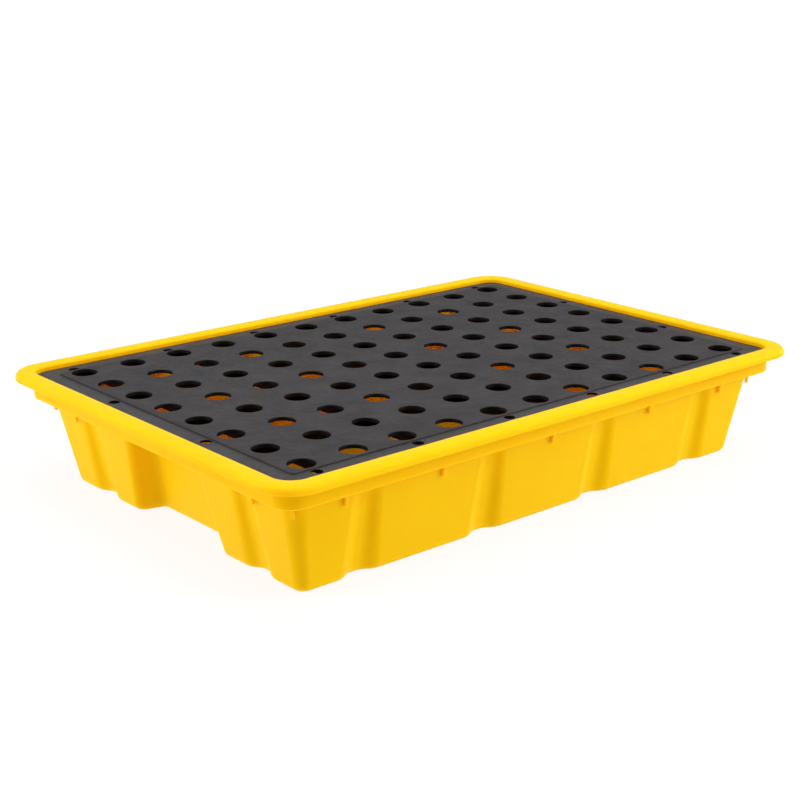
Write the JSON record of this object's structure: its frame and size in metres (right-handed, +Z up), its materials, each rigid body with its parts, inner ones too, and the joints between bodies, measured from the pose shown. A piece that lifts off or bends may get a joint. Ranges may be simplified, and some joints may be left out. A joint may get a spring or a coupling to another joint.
{
  "type": "spill containment pallet",
  "caption": "Rectangular spill pallet: a fluted sump tray with a flat rim, and a perforated ribbed deck grate on support posts that lifts out of the rim's recess.",
  "frame": {"origin": "on the ground under the middle of the tray", "axes": "+X along the tray's long sides, +Y across it, +Z up"},
  "size_m": [1, 0.696, 0.175],
  "materials": {
    "tray_plastic": "moulded yellow-orange polyethylene, fine grain, satin",
    "grate_plastic": "moulded dark grey polyethylene, faintly mottled, matt",
    "post_plastic": "extruded and moulded dark grey plastic, matt"
  },
  "bodies": {
    "tray": {"sump_tray": "tray_plastic"},
    "grate": {"deck_grate": "grate_plastic", "support_post_1": "post_plastic", "support_post_2": "post_plastic", "support_post_3": "post_plastic"}
  },
  "joints": [
    {"name": "grate_lift", "type": "slide", "parent": "tray", "child": "grate", "axis": [0, 0, 1], "range_m": [0, 0.2]}
  ]
}
